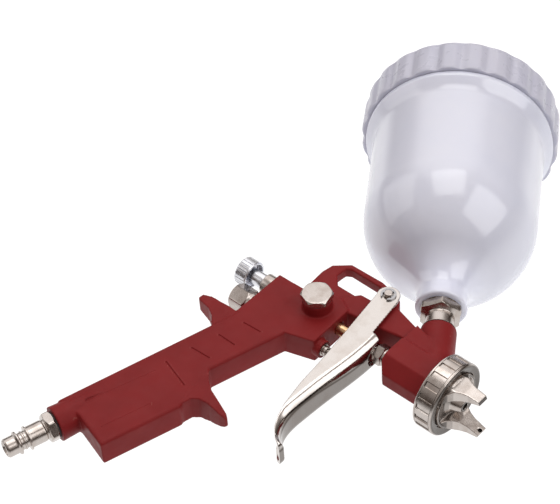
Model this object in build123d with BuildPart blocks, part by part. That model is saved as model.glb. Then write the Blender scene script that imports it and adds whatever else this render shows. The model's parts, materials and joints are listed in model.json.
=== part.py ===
"""Gravity-feed HVLP spray gun with a screw-lid paint cup, modelled as separate pieces.

Frame: origin on the spray axis at the fluid nozzle's tip, +X the way it sprays,
+Y the side that the cup stands on, +Z the gun's right-hand side. Millimetres.
"""
from build123d import *
from math import cos, radians, sin
import os

os.makedirs("parts", exist_ok=True)

# ---- driving dimensions -------------------------------------------------------
FIT = 0.05              # radial clearance of a running fit
GAP = 0.3               # clearance between pieces that move past each other

# planes of the gun
valve_y = -15.8         # height of the air valve axis
cup_lean = 34.0         # cup axis leans back from +Y, degrees
grip_rake = 15.5        # grip leans back from -Y, degrees
pivot_x, pivot_y = -66.0, 27.0          # trigger pivot
cup_root_x = -15.65     # cup axis crosses the spray axis here
inlet_x, inlet_y = -141.3, -135.8       # centre of the inlet boss's end face

# casting
grip_half = 7.5         # half thickness of grip and rear block
barrel_half = 6.5       # half thickness of the barrel below the hook slot
hook_half = 3.2         # half thickness of the hanging hook's frame
block_rear = -120.0
block_front = -75.5
head_rear = -41.6
head_half = 10.4        # half thickness of the head
head_low, head_high = -12.3, 12.3
collar_radius = 17.0    # threaded collar that carries the air cap ring
collar_rear, collar_front = -12.3, -7.0
socket_radius = 9.3     # cup socket
socket_top = 36.5       # along the cup axis
inlet_boss_radius = 9.2
grip_grooves = [((-111.0, -32.6), (-100.6, -32.0)), ((-115.1, -46.6), (-104.7, -46.7)),
                ((-119.5, -61.6), (-108.3, -61.0)), ((-122.9, -76.5), (-105.5, -81.6))]
groove_width, groove_depth = 0.6, 0.5
finger_spur = [(-112.0, -72.0), (-104.0, -66.0), (-102.6, -67.0), (-98.5, -71.5), (-92.8, -75.3),
               (-84.8, -77.9), (-79.2, -79.6), (-77.4, -80.8), (-77.8, -82.0), (-81.3, -82.6),
               (-88.5, -82.4), (-94.0, -83.2), (-97.2, -85.8), (-98.2, -90.0), (-99.0, -93.0),
               (-106.0, -95.0)]
plug_x, plug_y = -89.6, -0.8            # side plug of the air passage
plug_boss_radius, plug_boss_top = 7.8, 14.1
plug_top = 18.0

# head pieces
ring_radius = 19.9
ring_rear, ring_front = -12.6, -1.25
pocket_count = 20       # shallow pockets round the ring, for grip
pocket_rear, pocket_front = -11.0, -2.9
pocket_width, pocket_depth = 3.0, 0.7
cap_radius = 16.9
cone_front = 4.6        # centre cone of the air cap, ahead of the nozzle's tip
horn_front = 15.4
orifice_radius = 0.7    # 1.4 mm fluid nozzle
needle_radius = 1.25
rod_radius = 1.5
sleeve_radius = 3.2

# trigger
trigger_half = 9.4      # half width over the two arms
sheet = 1.5             # trigger sheet thickness
pin_radius = 2.5
clip_groove_radius = 1.7

# cup
cup_radius = 46.6
cup_wall = 2.0
bowl_centre = 116.0     # along the cup axis, centre of the round bottom
neck_radius, outlet_radius = 13.5, 7.9
blend_radius, blend_bottom = 27.0, 60.5  # the neck's sweep up into the round bottom
cup_neck_bottom = 51.6
cup_rim = 196.0
lid_radius = 55.0
lid_bottom, lid_top = 180.0, 202.5
flute_count = 24
adapter_flats = 20.0
hex_bottom, hex_top = 46.0, 51.2         # along the cup axis

# ---- planes and axes ------------------------------------------------------------
lean = radians(cup_lean)
rake = radians(grip_rake)
cup_root = Vector(cup_root_x, 0, 0)
cup_up = Vector(-sin(lean), cos(lean), 0)
cup_out = Vector(cos(lean), sin(lean), 0)
cup_side = Plane(origin=cup_root, x_dir=cup_out, z_dir=(0, 0, 1))      # (radius, height)
cup_plan = Plane(origin=cup_root, x_dir=cup_out, z_dir=cup_up)
cup_axis = Axis(origin=cup_root, direction=cup_up)
grip_down = Vector(-sin(rake), -cos(rake), 0)
grip_across = Vector(cos(rake), -sin(rake), 0)
inlet_end = Vector(inlet_x, inlet_y, 0)
inlet_side = Plane(origin=inlet_end, x_dir=grip_across, z_dir=Vector(0, 0, -1))
inlet_plan = Plane(origin=inlet_end, x_dir=grip_across, z_dir=grip_down)
inlet_axis = Axis(origin=inlet_end, direction=grip_down)
spray_side = Plane.XY
valve_side = Plane(origin=(0, valve_y, 0))
valve_axis = Axis(origin=(0, valve_y, 0), direction=(1, 0, 0))


# ---- shared operations ------------------------------------------------------------
def turn(outline, plane=spray_side, axis=Axis.X, mode=Mode.ADD):
    """Revolve a closed outline once round an axis in its own plane."""
    with BuildSketch(plane) as section:
        with BuildLine():
            Polyline(*outline, close=True)
        make_face()
    revolve(section.sketch, axis=axis, mode=mode)


def tube(rear, front, outer, inner, plane=spray_side, axis=Axis.X, mode=Mode.ADD):
    """A plain ring or tube between two stations of an axis along X."""
    turn([(rear, inner), (front, inner), (front, outer), (rear, outer)], plane, axis, mode)


def rod(rear, front, radius, plane=spray_side, axis=Axis.X, mode=Mode.ADD):
    """A plain solid rod between two stations of an axis along X."""
    tube(rear, front, radius, 0, plane, axis, mode)


def hexagon(station, length, flats, height=0.0, mode=Mode.ADD):
    """A hexagonal bar along +X, starting at a station."""
    with BuildSketch(Plane.YZ.offset(station)) as section:
        with Locations((height, 0)):
            RegularPolygon(radius=flats / 2, side_count=6, major_radius=False, rotation=30)
    extrude(section.sketch, amount=length, mode=mode)


def save(piece, label):
    """Label a finished piece and write its STEP file."""
    piece.part.label = label
    export_step(piece.part, f"parts/{label}.step")


# ---- gun body: the casting's separate forms ----------------------------------------
# Grip
with BuildPart() as grip_form:
    with BuildSketch(Plane.XY):
        with BuildLine():
            Polyline(
                (-118.0, -20.0), (-86.0, -18.0), (-91.0, -24.5), (-103.0, -66.0),
                (-98.8, -88.0), (-97.6, -93.0), (-109.8, -134.1), (-131.5, -128.1), (-146.6, -128.1),
                (-123.4, -44.5), (-119.6, -31.0), close=True,
            )
        make_face()
    extrude(amount=grip_half, both=True)
    sides = grip_form.faces().sort_by(Axis.Z)
    fillet(sides[0].edges() + sides[-1].edges(), 1.5)

# Front finger spur, thinner towards its rounded tip
with BuildPart() as finger_spur_form:
    with BuildSketch(Plane.XY):
        with BuildLine():
            Polyline(*finger_spur, close=True)
        make_face()
    extrude(amount=grip_half, both=True)
    with BuildSketch(Plane.XZ.offset(60)):
        with BuildLine():
            Polyline((-114.0, 7.3), (-91.0, 7.3), (-84.8, 6.0), (-79.2, 4.2), (-77.4, 2.6),
                     (-77.0, 1.2), (-77.0, -1.2), (-77.4, -2.6), (-79.2, -4.2), (-84.8, -6.0),
                     (-91.0, -7.3), (-114.0, -7.3), close=True)
        make_face()
    extrude(amount=50, mode=Mode.INTERSECT)

# Rear spur that rests on the web of the hand, narrowing to a rounded tip
with BuildPart() as web_spur_form:
    with BuildSketch(Plane.XY):
        with BuildLine():
            Polyline(
                (-112.0, -27.0), (-120.0, -28.6), (-138.0, -27.8), (-143.6, -29.2), (-144.6, -31.4),
                (-142.5, -33.2), (-134.0, -35.2), (-128.5, -38.4), (-125.2, -42.0), (-112.0, -52.0),
                close=True,
            )
        make_face()
    extrude(amount=grip_half, both=True)
    with BuildSketch(Plane.XZ.offset(20)):
        with BuildLine():
            Polyline((-111.0, 7.0), (-124.0, 7.0), (-143.0, 4.2), (-145.0, 2.4), (-145.0, -2.4),
                     (-143.0, -4.2), (-124.0, -7.0), (-111.0, -7.0), close=True)
        make_face()
    extrude(amount=40, mode=Mode.INTERSECT)

# Rear block that houses the needle spring and the air valve
with BuildPart() as block_form:
    with BuildSketch(Plane.XY):
        with BuildLine():
            Polyline(
                (block_rear, 4.2), (-100.0, 4.6), (-98.0, 9.0), (-84.4, 11.8), (-76.2, 7.8),
                (block_front, -19.6), (-91.7, -24.6), (block_rear, -29.0), close=True,
            )
        make_face()
    extrude(amount=grip_half, both=True)
    fillet(block_form.edges().filter_by(Axis.Z).sort_by(Axis.X)[-3:], 1.0)
    with BuildSketch(Plane.XY):
        with Locations((plug_x, plug_y)):
            Circle(plug_boss_radius)
    extrude(amount=plug_boss_top)
    rod(block_front - 1.0, -72.4, 4.8, valve_side, valve_axis)

# Hanging hook: a thin frame with a long slot
with BuildPart() as hook_form:
    with BuildSketch(Plane.XY):
        with BuildLine():
            Polyline(
                (-106.0, 0.0), (-107.6, 23.0), (-106.4, 29.8), (-98.6, 36.6), (-78.0, 36.9),
                (-69.5, 35.0), (-61.5, 30.6), (-57.6, 25.6), (-57.6, 12.0), (-77.0, 8.5),
                (-80.0, 0.0), close=True,
            )
        make_face()
        with BuildLine():
            Polyline(
                (-94.6, 20.6), (-99.6, 26.0), (-99.0, 32.0), (-96.4, 33.6), (-76.0, 33.3),
                (-72.4, 30.0), (-72.4, 20.6), close=True,
            )
        make_face(mode=Mode.SUBTRACT)
    extrude(amount=hook_half, both=True)
    sides = hook_form.faces().sort_by(Axis.Z)
    fillet(sides[0].edges(), 0.8)
    fillet(sides[-1].edges(), 0.8)

# Barrel between rear block and head, with the trigger's pivot boss
with BuildPart() as barrel_form:
    with BuildSketch(Plane.XY):
        with BuildLine():
            Polyline(
                (-86.0, 4.0), (-86.0, 12.6), (-79.0, 20.9), (-71.0, 21.2), (-70.0, 30.0),
                (-66.0, 32.2), (-61.0, 30.2), (-57.8, 25.3), (-41.8, 20.8), (-36.0, 21.0),
                (-36.0, 10.9), (-45.5, 10.9), (-55.0, 9.2), (-76.0, 6.6), close=True,
            )
        make_face()
    extrude(amount=barrel_half, both=True)
    sides = barrel_form.faces().sort_by(Axis.Z)
    fillet(sides[0].edges() + sides[-1].edges(), 1.2)
    with BuildSketch(Plane.XY):
        with Locations((pivot_x, pivot_y)):
            Circle(5.0)
    extrude(amount=grip_half, both=True)

# Head that carries the nozzle and the cup socket: a long block with broad chamfers
with BuildPart() as head_form:
    with BuildSketch(Plane.YZ.offset(head_rear)):
        with BuildLine():
            Polyline(
                (head_low, 4.0), (-5.0, head_half), (8.4, head_half), (head_high, 5.6),
                (head_high, -5.6), (8.4, -head_half), (-5.0, -head_half), (head_low, -4.0), close=True,
            )
        make_face()
    extrude(amount=collar_rear - head_rear)
    fillet(head_form.edges().filter_by(Axis.X), 1.2)
    with BuildSketch(Plane.XY):
        with BuildLine():
            Polyline((-45.0, -7.8), (head_rear, -7.8), (-36.4, -13.5), (-45.0, -13.5), close=True)
        make_face()
    extrude(amount=20, both=True, mode=Mode.SUBTRACT)
    with BuildSketch(Plane.XY):
        with BuildLine():
            Polyline((head_rear, -2.0), (head_rear, 20.4), (-26.0, 16.0), (-20.0, 4.0), close=True)
        make_face()
    extrude(amount=9.2, both=True)
    rod(-15.0, collar_front, 12.4)
    rod(collar_rear, collar_front, collar_radius)

# Cup socket, leaning back from the head
with BuildPart() as socket_form:
    turn(
        [(0, 0), (10.2, 4.0), (10.2, 14.0), (socket_radius + 0.2, 20.0), (socket_radius, 24.0),
         (socket_radius, socket_top - 0.6), (socket_radius - 0.6, socket_top), (0, socket_top)],
        cup_side, cup_axis,
    )

# Fine grooves on both sides of the grip
with BuildPart() as groove_form:
    for start, end in grip_grooves:
        run = Vector(*end) - Vector(*start)
        middle = (Vector(*start) + Vector(*end)) / 2
        with BuildSketch(Plane(origin=middle, x_dir=run)):
            Rectangle(run.length, groove_width)
        extrude(amount=grip_half + 1, both=True)
    with BuildSketch(Plane.XY):
        Rectangle(400, 400)
    extrude(amount=grip_half - groove_depth, both=True, mode=Mode.SUBTRACT)

# Gun body: the forms joined, then drilled
with BuildPart() as gun_body:
    add(grip_form.part)
    add(finger_spur_form.part)
    add(web_spur_form.part)
    add(block_form.part)
    add(hook_form.part)
    add(barrel_form.part)
    add(head_form.part)
    add(socket_form.part)
    add(groove_form.part, mode=Mode.SUBTRACT)
    with BuildSketch(inlet_plan):
        Circle(inlet_boss_radius)
    extrude(amount=-34, taper=3)
    # needle passage: spring chamber, sleeve bore, packing bore, paint chamber, nozzle thread
    rod(block_rear - 1, -102.0, 5.0, mode=Mode.SUBTRACT)
    rod(-103.0, block_front + 1, sleeve_radius + FIT, mode=Mode.SUBTRACT)
    rod(head_rear - 1, -32.0, 4.0, mode=Mode.SUBTRACT)
    rod(-33.0, collar_front + 1, 3.0, mode=Mode.SUBTRACT)
    rod(-22.0, collar_front + 1, 5.2, mode=Mode.SUBTRACT)
    # air valve passage: spring chamber, valve port, gland bore
    rod(block_rear - 1, -90.0, 5.5, valve_side, valve_axis, Mode.SUBTRACT)
    rod(-91.0, -83.0, 3.0, valve_side, valve_axis, Mode.SUBTRACT)
    rod(-84.0, -70.0, 3.4, valve_side, valve_axis, Mode.SUBTRACT)
    # air passage up the grip, paint passage down from the cup, plug and pivot holes
    with BuildSketch(inlet_plan):
        Circle(4.5)
    extrude(amount=-118, mode=Mode.SUBTRACT)
    with BuildSketch(inlet_plan):
        Circle(5.6)
    extrude(amount=-14, mode=Mode.SUBTRACT)
    with BuildSketch(cup_plan.offset(socket_top)):
        Circle(3.2)
    extrude(amount=-socket_top, mode=Mode.SUBTRACT)
    with BuildSketch(cup_plan.offset(socket_top)):
        Circle(6.0)
    extrude(amount=-13, mode=Mode.SUBTRACT)
    with BuildSketch(Plane.XY.offset(plug_boss_top)):
        with Locations((plug_x, plug_y)):
            Circle(5.0)
    extrude(amount=-8.0, mode=Mode.SUBTRACT)
    with BuildSketch(Plane.XY.offset(-12)):
        with Locations((pivot_x, pivot_y)):
            Circle(pin_radius)
    extrude(amount=24, mode=Mode.SUBTRACT)
save(gun_body, "gun_body")

# ---- spray head ---------------------------------------------------------------------
# Fluid nozzle, screwed into the head; its tip sits in the air cap's centre hole
with BuildPart() as fluid_nozzle:
    turn([(-21.0, 3.2), (-21.0, 5.1), (-7.4, 5.1), (-6.4, 5.1), (-6.4, 8.2), (-5.0, 8.2),
          (-2.6, 2.3), (0.0, 1.9), (0.0, orifice_radius), (-0.8, orifice_radius), (-3.4, 2.0),
          (-5.0, 3.2)])
save(fluid_nozzle, "fluid_nozzle")

# Soft seal between nozzle flange and head
with BuildPart() as nozzle_seal:
    tube(-7.0, -6.45, 8.0, 5.3)
save(nozzle_seal, "nozzle_seal")

# The air cap's horns: each flares into the cap's rim at its root
with BuildPart() as horn_form:
    with BuildSketch(Plane.XZ):
        with BuildLine():
            Polyline((-3.4, 6.6), (3.6, 7.6), (12.6, 10.2), (15.2, 11.0), (14.4, 13.0),
                     (6.0, 13.9), (-3.4, 14.2), close=True)
        make_face()
    extrude(amount=cap_radius, both=True)
    mirror(about=Plane.XY)
    with BuildSketch(Plane.XY):
        with BuildLine():
            Polyline((-2.4, 17.5), (-1.6, 11.6), (-0.2, 8.4), (2.0, 6.0), (4.8, 4.4), (8.4, 3.5),
                     (horn_front, 3.1), (horn_front + 2, 3.1), (horn_front + 2, 17.5), close=True)
        make_face()
        mirror(about=Plane.XZ)
    extrude(amount=20, both=True, mode=Mode.SUBTRACT)
    rod(-4.0, horn_front, cap_radius - 1.9, mode=Mode.INTERSECT)

# Air cap: a rim, a centre cone round the nozzle's tip, and the horns with their fan air holes
with BuildPart() as air_cap:
    turn([(-6.4, 9.4), (-6.4, cap_radius), (-4.4, cap_radius), (-4.4, 14.7), (-0.6, 14.7),
          (-0.6, 13.8), (-2.6, 12.6), (-2.6, 7.8), (-0.8, 5.6), (cone_front, 3.4),
          (cone_front, 1.8), (0.8, 2.7), (-1.6, 2.7), (-4.6, 9.4)])
    add(horn_form.part)
    turn([(-8.0, 0), (-8.0, 9.4), (-4.6, 9.4), (-1.6, 2.7), (0.8, 2.7), (cone_front, 1.8),
          (cone_front + 1, 1.8), (cone_front + 1, 0)], mode=Mode.SUBTRACT)
    for side in (1, -1):
        with BuildSketch(Plane(origin=(12.4, 0, side * 8.6), z_dir=(-0.6, 0, -side * 0.8))):
            Circle(0.9)
        extrude(amount=-3.4, mode=Mode.SUBTRACT)
save(air_cap, "air_cap")

# Wire clip that keeps the cap in its ring
with BuildPart() as cap_clip:
    tube(-3.9, -3.1, 16.6, 15.0)
    with BuildSketch(Plane.YZ.offset(-5)):
        with Locations((16, 0)):
            Rectangle(6, 5)
    extrude(amount=3, mode=Mode.SUBTRACT)
save(cap_clip, "cap_clip")

# Ring that holds the cap on the head
with BuildPart() as air_cap_ring:
    turn([(ring_rear, collar_radius + GAP), (ring_rear, ring_radius - 0.5), (-12.1, ring_radius),
          (-1.8, ring_radius), (ring_front, ring_radius - 0.6), (ring_front, 15.6), (-2.8, 15.2),
          (-2.8, collar_radius + GAP)])
    with BuildSketch(Plane.YZ.offset(pocket_rear)):
        with PolarLocations(ring_radius + 1 - pocket_depth, pocket_count):
            Rectangle(2, pocket_width)
    extrude(amount=pocket_front - pocket_rear, mode=Mode.SUBTRACT)
save(air_cap_ring, "air_cap_ring")

# ---- fluid needle --------------------------------------------------------------------
with BuildPart() as needle:
    turn([(-107.0, 0), (-107.0, rod_radius), (-60.0, rod_radius), (-58.0, needle_radius),
          (-7.0, needle_radius), (-0.7, 0.55), (-0.1, 0.25), (-0.1, 0)])
save(needle, "needle")

with BuildPart() as needle_sleeve:
    turn([(-109.0, rod_radius), (-109.0, 4.6), (-107.2, 4.6), (-107.2, sleeve_radius),
          (-62.0, sleeve_radius), (-61.4, sleeve_radius - 0.6), (-61.4, rod_radius)])
save(needle_sleeve, "needle_sleeve")

with BuildPart() as needle_packing:
    turn([(-37.6, needle_radius + FIT), (-37.6, 3.8), (-32.6, 3.8), (-32.1, 2.8),
          (-32.1, needle_radius + FIT)])
save(needle_packing, "needle_packing")

# Packing nut: gland tube, hexagon and round collar in one turned piece
with BuildPart() as packing_nut:
    hexagon(-50.6, 5.2, 10.0)
    rod(-45.5, -41.65, 4.6)
    rod(-42.0, -37.7, 3.9)
    rod(-56.4, -50.5, 2.5)
    rod(-57.0, -37.0, needle_radius + 0.15, mode=Mode.SUBTRACT)
save(packing_nut, "packing_nut")

# ---- needle spring and fluid control knob -----------------------------------------------
def coil(rear, front, radius, wire, turns, height=0.0):
    """An open compression spring between two stations of an axis along X."""
    pitch = (front - rear) / turns
    path = Helix(pitch, front - rear, radius, center=(rear, height, 0), direction=(1, 0, 0),
                 mode=Mode.PRIVATE)
    with BuildSketch(Plane(origin=path @ 0, z_dir=path % 0)) as section:
        Circle(wire / 2)
    sweep(section.sketch, path=path, is_frenet=True)


with BuildPart() as needle_spring:
    coil(-116.2, -109.9, 2.5, 0.8, 5)
save(needle_spring, "needle_spring")

with BuildPart() as knob_guide:
    tube(-126.2, block_rear - 0.05, 5.7, 3.35)
    tube(-120.6, -117.2, 4.9, 3.35)
save(knob_guide, "knob_guide")

# Knob: a knurled cap, open towards the gun, on a plain stem with a spindle inside the guide
with BuildPart() as fluid_knob:
    turn([(-142.6, 0), (-142.6, 7.2), (-142.0, 7.8), (-135.2, 7.8), (-134.6, 7.3), (-134.6, 6.5),
          (-139.0, 6.2), (-139.0, 4.1), (-126.6, 4.1), (-126.5, 3.2), (-117.6, 3.2),
          (-117.0, 2.8), (-117.0, 0)])
    with BuildSketch(Plane.YZ.offset(-142.6)):
        with PolarLocations(8.15, 28):
            Circle(0.62)
    extrude(amount=8.0, mode=Mode.SUBTRACT)
save(fluid_knob, "fluid_knob")

# ---- air valve -----------------------------------------------------------------------------
with BuildPart() as air_valve:
    rod(-99.0, -53.4, 1.5, valve_side, valve_axis)
    rod(-93.6, -91.2, 4.5, valve_side, valve_axis)
    with BuildSketch(Plane.YZ.offset(-53.4)):
        with Locations((valve_y, 0)):
            Circle(1.5)
    extrude(amount=1.2, taper=35)
save(air_valve, "air_valve")

with BuildPart() as air_valve_seal:
    tube(-91.2, -90.05, 4.4, 1.5, valve_side, valve_axis)
save(air_valve_seal, "air_valve_seal")

with BuildPart() as air_valve_spring:
    coil(-109.6, -94.2, 3.4, 0.9, 7, valve_y)
save(air_valve_spring, "air_valve_spring")

# Gland nut that guides the valve stem out of the block's front face
with BuildPart() as valve_gland:
    tube(-83.8, -72.3, 3.3, 1.5 + FIT, valve_side, valve_axis)
    tube(-72.35, -70.2, 2.6, 1.5 + FIT, valve_side, valve_axis)
save(valve_gland, "valve_gland")

# Hexagonal cap that closes the air valve's chamber at the rear
with BuildPart() as air_valve_cap:
    hexagon(-133.2, 11.0, 13.0, valve_y)
    with BuildSketch(Plane.YZ.offset(-133.2)):
        with Locations((valve_y, 0)):
            Circle(7.1)
    extrude(amount=11.0, mode=Mode.INTERSECT)
    rod(-122.6, block_rear - 0.5, 6.2, valve_side, valve_axis)
    rod(-120.6, -111.0, 5.4, valve_side, valve_axis)
    rod(-112.4, -110.5, 4.2, valve_side, valve_axis, Mode.SUBTRACT)
save(air_valve_cap, "air_valve_cap")

with BuildPart() as valve_cap_seal:
    tube(block_rear - 0.48, block_rear - 0.02, 6.6, 5.45, valve_side, valve_axis)
save(valve_cap_seal, "valve_cap_seal")

# ---- side plug of the air passage -----------------------------------------------------------
with BuildPart() as side_plug:
    with BuildSketch(Plane.XY.offset(plug_boss_top + 0.45)):
        with Locations((plug_x, plug_y)):
            RegularPolygon(radius=7.5, side_count=6, major_radius=False, rotation=40)
    extrude(amount=plug_top - plug_boss_top - 0.45)
    with BuildSketch(Plane.XY.offset(plug_top)):
        with Locations((plug_x, plug_y)):
            Circle(8.3)
    extrude(amount=-5.0, taper=-12, mode=Mode.INTERSECT)
    with BuildSketch(Plane.XY.offset(plug_boss_top + 0.5)):
        with Locations((plug_x, plug_y)):
            Circle(4.9)
    extrude(amount=-7.0)
save(side_plug, "side_plug")

with BuildPart() as side_plug_washer:
    with BuildSketch(Plane.XY.offset(plug_boss_top + 0.02)):
        with Locations((plug_x, plug_y)):
            Circle(7.4)
            Circle(5.1, mode=Mode.SUBTRACT)
    extrude(amount=0.4)
save(side_plug_washer, "side_plug_washer")

# ---- trigger ---------------------------------------------------------------------------------
trigger_face = [(-50.5, 6.0), (-50.3, -18.0), (-52.0, -36.0), (-53.0, -52.0), (-52.6, -65.0),
                (-49.6, -72.6), (-43.6, -77.4)]


def trigger_form(inset, drop):
    """The solid bounded in front by the trigger's pressed face, moved back and down by an inset."""
    with BuildPart() as form:
        with BuildSketch(Plane.XY):
            with BuildLine():
                face = Spline(*[(x - inset, y - drop) for x, y in trigger_face])
                Line(face @ 0, (-50.5 - inset, 36))
                Polyline((-50.5 - inset, 36), (-78, 36), (-78, -92), (-44.6 - inset, -92), face @ 1)
            make_face()
        extrude(amount=trigger_half - inset, both=True)
        rims = form.faces().filter_by(Axis.Z).edges()
        front = rims.filter_by(lambda e: e.center().X > -56 and e.length > 10 and e.center().Y > -88)
        fillet(front, 5.6 - inset)
    return form.part


trigger_outside = trigger_form(0, 0)
trigger_inside = trigger_form(sheet, 0.45)

with BuildPart() as trigger:
    add(trigger_outside)
    add(trigger_inside, mode=Mode.SUBTRACT)
    with BuildSketch(Plane.XY):
        with BuildLine():
            Polyline((-71.6, 26.0), (-66.4, -8.0), (-63.4, -28.7), (-61.6, -45.1), (-58.8, -59.7),
                     (-56.4, -67.0), (-53.2, -73.4), (-48.2, -78.4), (-43.8, -80.6), (-41.0, -75.0),
                     (-44.0, -60.0), (-44.0, 2.0), (-55.8, 2.6), (-59.4, 27.0), close=True)
        make_face()
        with Locations((pivot_x, pivot_y)):
            Circle(6.1)
    extrude(amount=20, both=True, mode=Mode.INTERSECT)
    # relief in the pressed face for the packing nut's gland tube
    with BuildSketch(Plane.YZ.offset(-60)):
        SlotCenterToCenter(4, 12.6)
    extrude(amount=20, mode=Mode.SUBTRACT)
    # two lugs, bent inwards, that push the needle sleeve
    for side in (1, -1):
        with BuildSketch(Plane.XY.offset(side * 2.3)):
            with Locations((-60.2, 0)):
                Rectangle(1.5, 4.0)
        extrude(amount=side * 6.0)
    with BuildSketch(Plane.XY.offset(-12)):
        with Locations((pivot_x, pivot_y)):
            Circle(pin_radius + FIT)
    extrude(amount=24, mode=Mode.SUBTRACT)
save(trigger, "trigger")

# Pivot pin across body and trigger: slotted head on the left, grooved end on the right
with BuildPart() as pivot_screw:
    with BuildSketch(Plane.XY.offset(-trigger_half - 0.2)):
        with Locations((pivot_x, pivot_y)):
            Circle(pin_radius)
    extrude(amount=2 * trigger_half + 0.3)
    with BuildSketch(Plane.XY.offset(-trigger_half - 0.15)):
        with Locations((pivot_x, pivot_y)):
            Circle(4.3)
    extrude(amount=-2.0, taper=14)
    with BuildSketch(Plane.XY.offset(-trigger_half - 2.15)):
        with Locations((pivot_x, pivot_y)):
            Rectangle(9.0, 1.1, rotation=-25)
    extrude(amount=0.9, mode=Mode.SUBTRACT)
    with BuildSketch(Plane.XY.offset(trigger_half)):
        with Locations((pivot_x, pivot_y)):
            Circle(clip_groove_radius)
    extrude(amount=1.2)
    with BuildSketch(Plane.XY.offset(trigger_half + 1.0)):
        with Locations((pivot_x, pivot_y)):
            Circle(2.2)
    extrude(amount=1.0)
    fillet(pivot_screw.edges().sort_by(Axis.Z)[-1], 0.5)
save(pivot_screw, "pivot_screw")

# Retaining clip: an open ring with three teeth that reach into the pin's groove
with BuildPart() as pivot_clip:
    with BuildSketch(Plane.XY.offset(trigger_half + 0.15)):
        with Locations((pivot_x, pivot_y)):
            Circle(4.1)
            Circle(3.0, mode=Mode.SUBTRACT)
            Rectangle(7.0, 1.5)
            with Locations((0, 2)):
                Rectangle(1.5, 4)
            with Locations((0, -3)):
                Rectangle(3.4, 4.4, mode=Mode.SUBTRACT)
            Circle(clip_groove_radius + 0.02, mode=Mode.SUBTRACT)
    extrude(amount=0.8)
save(pivot_clip, "pivot_clip")

# ---- air inlet --------------------------------------------------------------------------------
# Quick-connect nipple: (radius, distance below the boss)
with BuildPart() as inlet_nipple:
    with BuildSketch(inlet_plan.offset(0.9)):
        RegularPolygon(radius=7.0, side_count=6, major_radius=False)
    extrude(amount=4.4)
    turn([(3.0, -11.0), (5.5, -11.0), (5.5, 1.0), (3.0, 1.0)], inlet_side, inlet_axis)
    turn([(3.0, 5.2), (5.5, 5.2), (5.5, 14.6), (6.3, 14.7), (6.3, 15.3), (4.4, 15.8), (4.4, 19.4),
          (6.0, 20.0), (6.0, 20.8), (4.9, 21.6), (4.9, 26.4), (4.2, 27.4), (3.0, 27.4)],
         inlet_side, inlet_axis)
    with BuildSketch(inlet_plan.offset(-12)):
        Circle(3.0)
    extrude(amount=45, mode=Mode.SUBTRACT)
save(inlet_nipple, "inlet_nipple")

with BuildPart() as nipple_seal:
    with BuildSketch(inlet_plan.offset(0.05)):
        Circle(6.8)
        Circle(5.7, mode=Mode.SUBTRACT)
    extrude(amount=0.8)
save(nipple_seal, "nipple_seal")

# ---- paint cup -----------------------------------------------------------------------------------
# Adapter: thread in the socket, hexagon, and thread up into the cup
with BuildPart() as cup_adapter:
    turn([(3.2, 24.6), (5.6, 24.6), (5.6, socket_top + 0.2), (7.6, socket_top + 0.2),
          (7.6, hex_bottom + 0.2), (3.2, hex_bottom + 0.2)], cup_side, cup_axis)
    with BuildSketch(cup_plan.offset(hex_bottom)):
        RegularPolygon(radius=adapter_flats / 2, side_count=6, major_radius=False, rotation=34)
    extrude(amount=hex_top - hex_bottom)
    turn([(3.2, 51.0), (7.8, 51.0), (7.8, 66.0), (3.2, 66.0)], cup_side, cup_axis)
    with BuildSketch(cup_plan.offset(24)):
        Circle(3.2)
    extrude(amount=45, mode=Mode.SUBTRACT)
save(cup_adapter, "cup_adapter")

with BuildPart() as adapter_seal:
    turn([(7.85, hex_top + 0.02), (9.6, hex_top + 0.02), (9.6, cup_neck_bottom - 0.02),
          (7.85, cup_neck_bottom - 0.02)], cup_side, cup_axis)
save(adapter_seal, "adapter_seal")

# Mesh strainer that stands in the cup's outlet
with BuildPart() as paint_strainer:
    turn([(3.4, 66.1), (7.4, 66.1), (7.4, 67.2), (5.2, 67.2), (4.6, 88.0), (0, 88.0), (0, 87.2),
          (3.8, 87.2), (4.4, 67.2), (3.4, 67.2)], cup_side, cup_axis)
save(paint_strainer, "paint_strainer")

# Cup: neck, round bottom, straight wall with a threaded mouth and a flange under the lid
inner_radius = cup_radius - cup_wall
foot = (blend_radius, bowl_centre - (cup_radius**2 - blend_radius**2) ** 0.5)
inner_foot = (outlet_radius, bowl_centre - (inner_radius**2 - outlet_radius**2) ** 0.5)

with BuildPart() as cup:
    with BuildSketch(cup_side):
        with BuildLine():
            Line((neck_radius, cup_neck_bottom), (neck_radius, blend_bottom))
            Bezier((neck_radius, blend_bottom), (neck_radius, blend_bottom + 7.9), foot)
            RadiusArc(foot, (cup_radius, bowl_centre), -cup_radius)
            Polyline((cup_radius, bowl_centre), (cup_radius + 0.9, 172.4), (52.2, 177.4),
                     (52.2, 179.3), (48.6, 179.6), (48.6, cup_rim), (46.4, cup_rim),
                     (46.0, 177.0), (inner_radius, bowl_centre))
            RadiusArc((inner_radius, bowl_centre), inner_foot, inner_radius)
            Polyline(inner_foot, (outlet_radius, cup_neck_bottom), (neck_radius, cup_neck_bottom))
        make_face()
    revolve(axis=cup_axis)
save(cup, "cup")

# Sealing disc under the lid
with BuildPart() as lid_seal:
    turn([(0, 197.0), (46.0, 197.0), (46.0, cup_rim + 0.1), (49.6, cup_rim + 0.1),
          (49.6, 198.4), (0, 198.4)], cup_side, cup_axis)
save(lid_seal, "lid_seal")

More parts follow.
